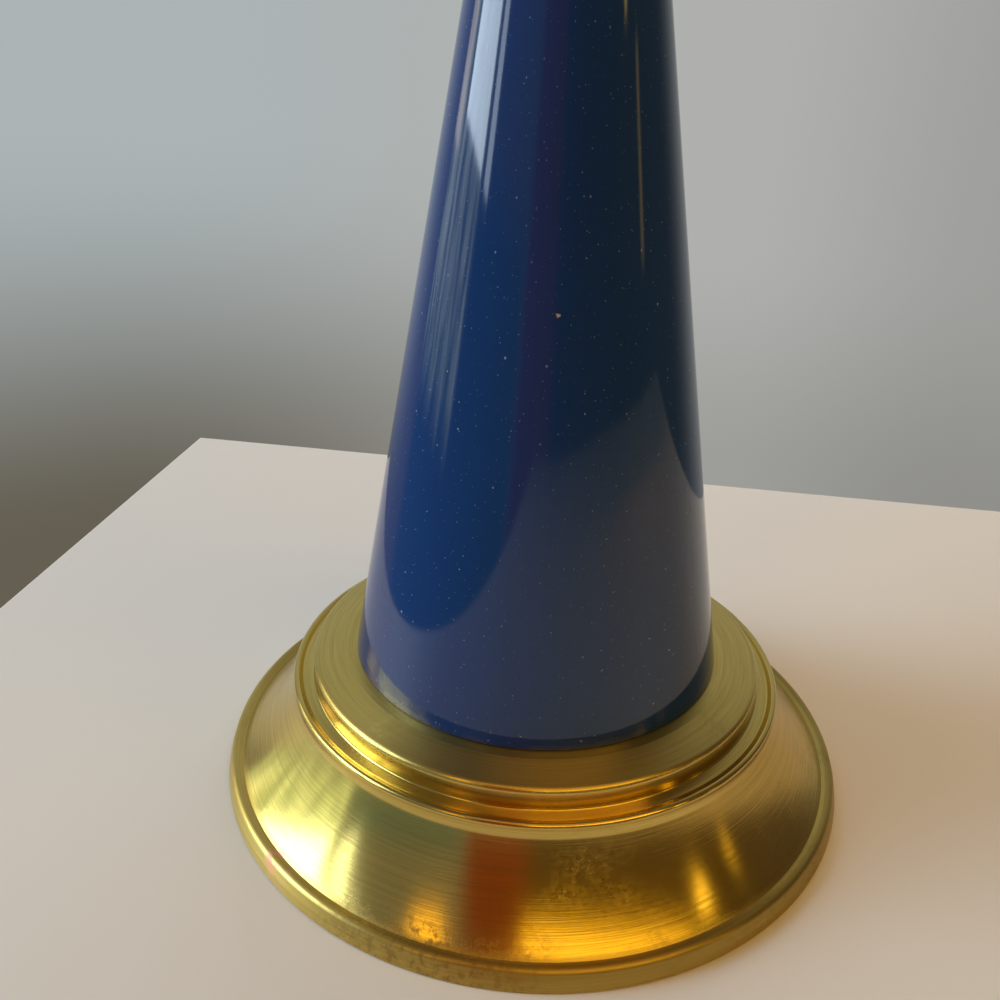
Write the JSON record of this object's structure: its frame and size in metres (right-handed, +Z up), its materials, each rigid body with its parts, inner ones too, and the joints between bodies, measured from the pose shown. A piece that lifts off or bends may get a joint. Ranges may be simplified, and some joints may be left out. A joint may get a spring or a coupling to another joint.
{
  "type": "table lamp base",
  "caption": "Table lamp base: a hollow glazed cone on a stepped spun foot, with a screw lamp holder, turn switch, lift-off harp and screw-on finial.",
  "frame": {"origin": "centre of the felt pad's underside, on the surface the lamp stands on", "axes": "+Z up along the lamp's axis, -Y towards the front where the switch knob points, +Y towards the cord bushing at the back, the harp lies in the XZ plane"},
  "size_m": [0.16, 0.16, 0.4579],
  "materials": {
    "felt": "dark green pressed wool felt",
    "spun_brass": "satin, fine circumferential spinning lines, unlacquered with light tarnish",
    "cast_iron": "raw sand-cast iron",
    "zinc_steel": "zinc-plated steel",
    "black_plastic": "matt moulded plastic",
    "blue_glaze": "deep cobalt gloss glaze over a ceramic body",
    "harp_brass": "satin brass-plated wire and strip",
    "socket_brass": "polished brass-plated shell",
    "contact_brass": "bare drawn brass",
    "finial_brass": "polished turned brass",
    "fibre_board": "tan vulcanised fibre board",
    "phenolic": "black moulded phenolic"
  },
  "bodies": {
    "lamp_base": {"felt_pad": "felt", "base_shell": "spun_brass", "base_weight": "cast_iron", "base_washer": "zinc_steel", "base_lock_washer": "zinc_steel", "base_nut": "zinc_steel", "cord_bushing": "black_plastic", "bushing_nut": "black_plastic", "lower_check_ring": "zinc_steel", "body_shell": "blue_glaze", "threaded_pipe": "zinc_steel", "upper_check_ring": "zinc_steel", "neck_cap": "spun_brass", "neck_spacer": "spun_brass", "harp_saddle": "harp_brass", "saddle_nut": "zinc_steel", "socket_cap": "socket_brass", "cap_set_screw": "zinc_steel", "cap_insulator": "fibre_board", "socket_core": "phenolic", "terminal_screws": "zinc_steel", "screw_shell": "contact_brass", "centre_contact": "contact_brass", "insulating_sleeve": "fibre_board", "socket_shell": "socket_brass"},
    "harp": {"harp_loop": "harp_brass", "harp_top_plate": "harp_brass", "harp_stud": "harp_brass"},
    "ferrule_left": {"harp_ferrule_left": "harp_brass"},
    "ferrule_right": {"harp_ferrule_right": "harp_brass"},
    "finial_insert": {"finial_insert": "zinc_steel"},
    "finial": {"finial_body": "finial_brass"},
    "switch_key": {"switch_spindle": "contact_brass", "switch_knob": "phenolic"}
  },
  "joints": [
    {"name": "switch_turn", "type": "hinge", "parent": "lamp_base", "child": "switch_key", "pos_m": [0, -0.0286, 0.273], "axis": [0, -1, 0], "continuous": true},
    {"name": "harp_lift", "type": "slide", "parent": "lamp_base", "child": "harp", "axis": [0, 0, 1], "range_m": [0, 0.03]},
    {"name": "ferrule_left_lift", "type": "slide", "parent": "harp", "child": "ferrule_left", "axis": [0, 0, 1], "range_m": [0, 0.012]},
    {"name": "ferrule_right_lift", "type": "slide", "parent": "harp", "child": "ferrule_right", "axis": [0, 0, 1], "range_m": [0, 0.012]},
    {"name": "finial_lift", "type": "slide", "parent": "harp", "child": "finial_insert", "axis": [0, 0, 1], "range_m": [0, 0.0077]},
    {"name": "finial_turn", "type": "hinge", "parent": "finial_insert", "child": "finial", "pos_m": [0, 0, 0.44], "axis": [0, 0, 1], "range_deg": [0, 2950]}
  ],
  "couplings": [
    {"joint": "finial_turn", "follows": "finial_lift", "rad_per_m": 6679}
  ]
}
